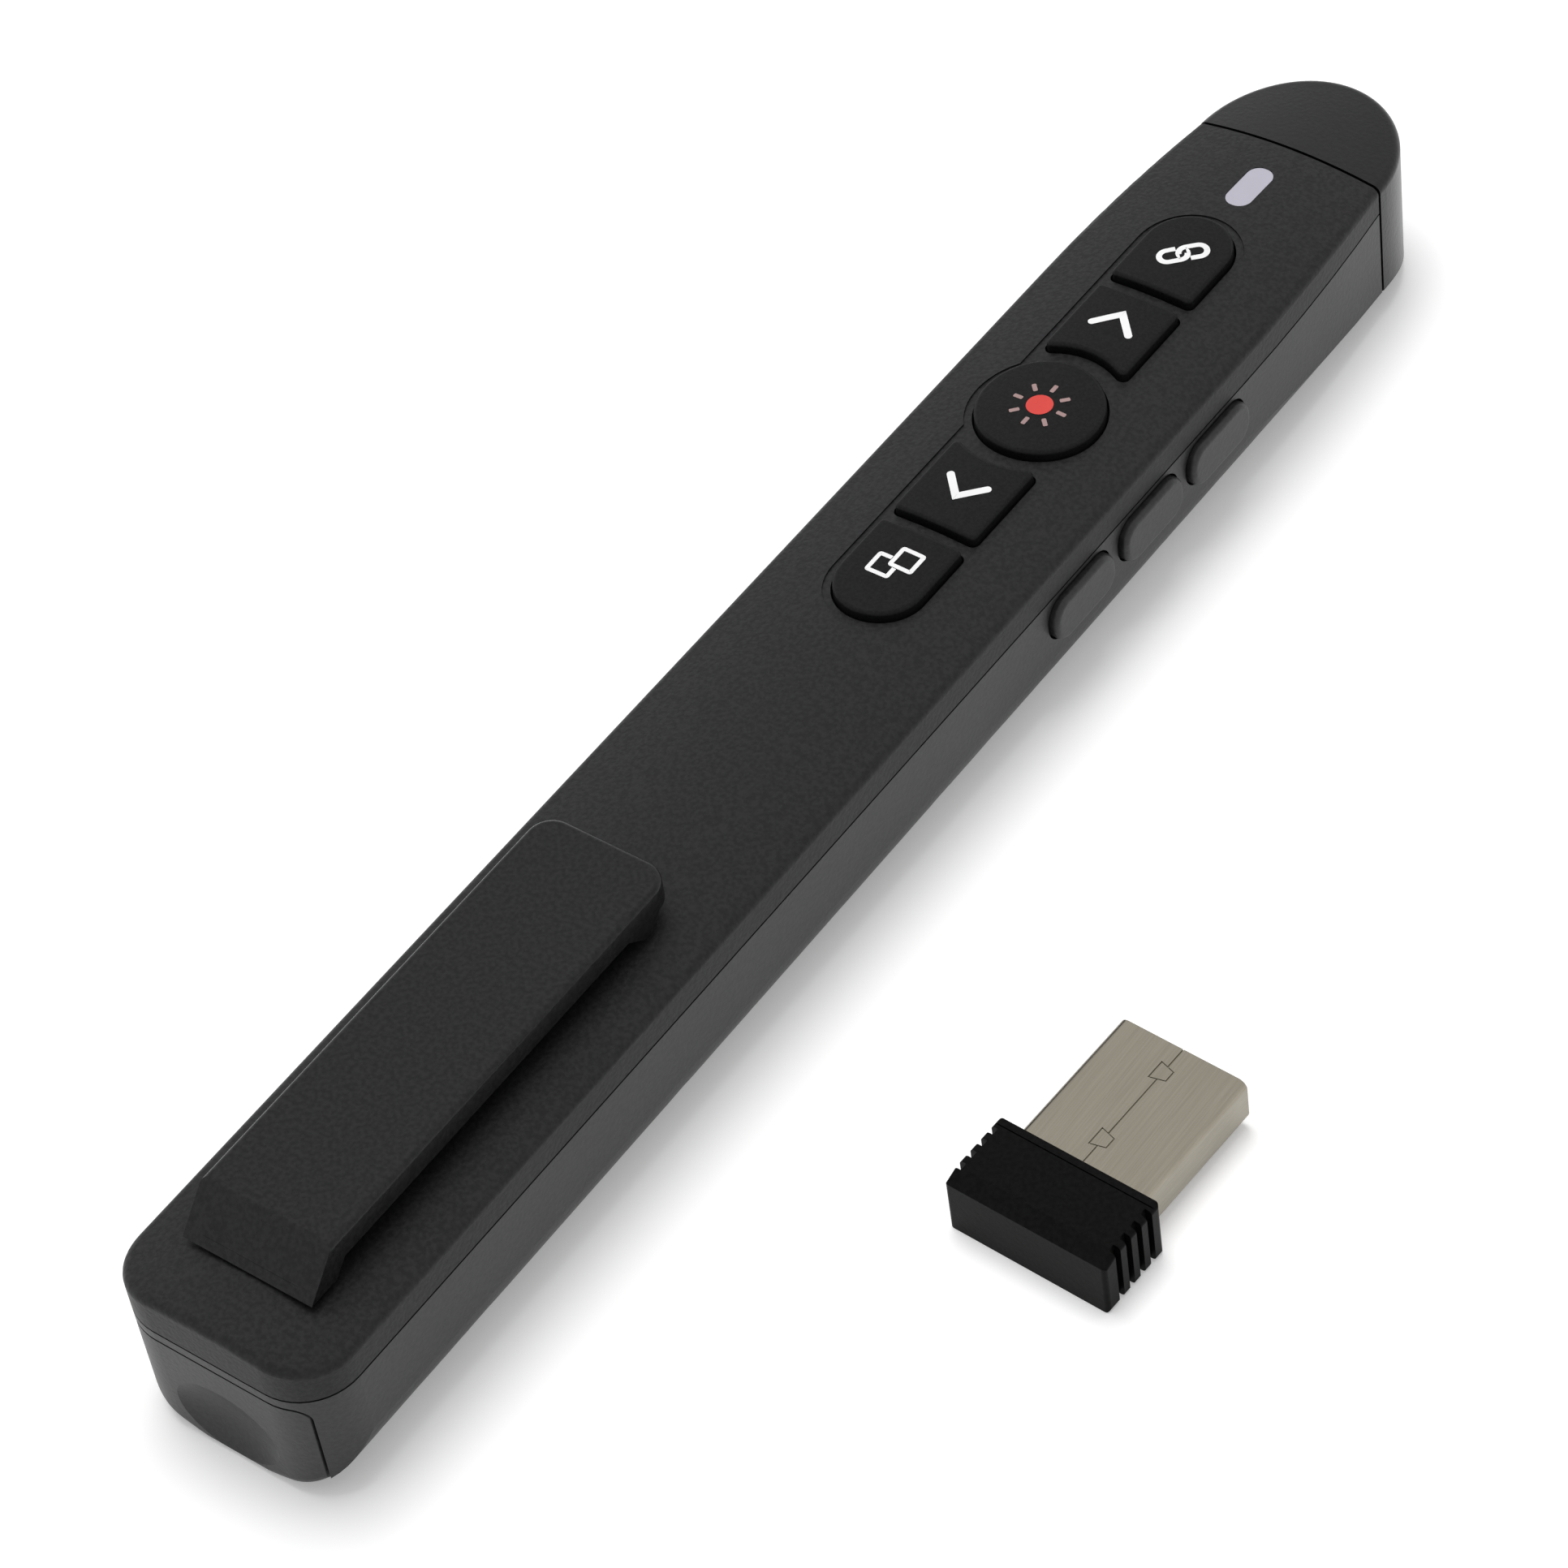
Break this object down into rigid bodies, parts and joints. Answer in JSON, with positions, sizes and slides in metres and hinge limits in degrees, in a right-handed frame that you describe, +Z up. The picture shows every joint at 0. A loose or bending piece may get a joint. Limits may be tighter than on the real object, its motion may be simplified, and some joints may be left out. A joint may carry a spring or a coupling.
{
  "type": "wireless presentation clicker",
  "caption": "Pen-shaped wireless presentation clicker with top key row, side volume keys, laser nose, pocket clip, sliding battery door and loose USB receiver.",
  "frame": {"origin": "centre of the flat underside that the clicker rests on", "axes": "+Y towards the laser end, +X towards the volume keys, +Z up"},
  "size_m": [0.0605, 0.16, 0.0204],
  "materials": {
    "shell": "fine matt texture",
    "nose": "satin",
    "keys": "matt, soft touch",
    "lens": "clear red",
    "barrel": "turned",
    "indicator": "milky",
    "board": "solder mask",
    "switch": "moulded",
    "can": "stamped",
    "cell": "printed sleeve",
    "contact": "nickel plated spring steel",
    "screw": "zinc plated",
    "cap": "satin",
    "plug": "nickel plated",
    "tongue": "moulded",
    "gold": "gold flash"
  },
  "bodies": {
    "housing": {"top_shell": "shell", "bottom_shell": "shell", "nose_cap": "nose", "laser_window": "lens", "laser_barrel": "barrel", "indicator_window": "indicator", "status_led": "indicator", "main_board": "board", "key_switches": "switch", "side_switches": "switch", "radio_chip": "switch", "crystal": "can", "power_switch": "can", "battery": "cell", "plate_contact": "contact", "spring_contact": "contact", "screws": "screw"},
    "window_button": {"window_key": "keys", "window_plunger": "switch"},
    "down_button": {"down_key": "keys", "down_plunger": "switch"},
    "laser_button": {"laser_key": "keys", "laser_plunger": "switch"},
    "up_button": {"up_key": "keys", "up_plunger": "switch"},
    "link_button": {"link_key": "keys", "link_plunger": "switch"},
    "volume_down_button": {"volume_down_key": "keys", "volume_down_plunger": "switch"},
    "mute_button": {"mute_key": "keys", "mute_plunger": "switch"},
    "volume_up_button": {"volume_up_key": "keys", "volume_up_plunger": "switch"},
    "power_slide": {"power_knob": "keys", "power_lever": "switch"},
    "clip": {"clip": "shell"},
    "door": {"battery_door": "shell"},
    "receiver": {"receiver_cap": "cap", "receiver_shell": "plug", "receiver_tongue": "tongue", "receiver_contacts": "gold", "receiver_board": "board"}
  },
  "joints": [
    {"name": "window_press", "type": "slide", "parent": "housing", "child": "window_button", "axis": [0, 0, -1], "range_m": [0, 0.0005], "stiffness_N_per_m": 1500, "springref_m": -0.0005},
    {"name": "down_press", "type": "slide", "parent": "housing", "child": "down_button", "axis": [0, 0, -1], "range_m": [0, 0.0005], "stiffness_N_per_m": 1500, "springref_m": -0.0005},
    {"name": "laser_press", "type": "slide", "parent": "housing", "child": "laser_button", "axis": [0, 0, -1], "range_m": [0, 0.0005], "stiffness_N_per_m": 1500, "springref_m": -0.0005},
    {"name": "up_press", "type": "slide", "parent": "housing", "child": "up_button", "axis": [0, 0, -1], "range_m": [0, 0.0005], "stiffness_N_per_m": 1500, "springref_m": -0.0005},
    {"name": "link_press", "type": "slide", "parent": "housing", "child": "link_button", "axis": [0, 0, -1], "range_m": [0, 0.0005], "stiffness_N_per_m": 1500, "springref_m": -0.0005},
    {"name": "volume_down_press", "type": "slide", "parent": "housing", "child": "volume_down_button", "axis": [-1, 0, 0], "range_m": [0, 0.0004], "stiffness_N_per_m": 1500, "springref_m": -0.0005},
    {"name": "mute_press", "type": "slide", "parent": "housing", "child": "mute_button", "axis": [-1, 0, 0], "range_m": [0, 0.0004], "stiffness_N_per_m": 1500, "springref_m": -0.0005},
    {"name": "volume_up_press", "type": "slide", "parent": "housing", "child": "volume_up_button", "axis": [-1, 0, 0], "range_m": [0, 0.0004], "stiffness_N_per_m": 1500, "springref_m": -0.0005},
    {"name": "power_switching", "type": "slide", "parent": "housing", "child": "power_slide", "axis": [0, 1, 0], "range_m": [0, 0.002]},
    {"name": "clip_flex", "type": "hinge", "parent": "housing", "child": "clip", "pos_m": [0, -0.0726, 0.0156], "axis": [1, 0, 0], "range_deg": [0, 4.5], "stiffness_Nm_per_rad": 1.2, "springref_deg": -1.15},
    {"name": "door_slide", "type": "slide", "parent": "housing", "child": "door", "axis": [0, -1, 0], "range_m": [0, 0.075]},
    {"name": "receiver_lift", "type": "slide", "parent": "housing", "child": "receiver", "axis": [0, 0, 1], "range_m": [0, 0.03]}
  ]
}
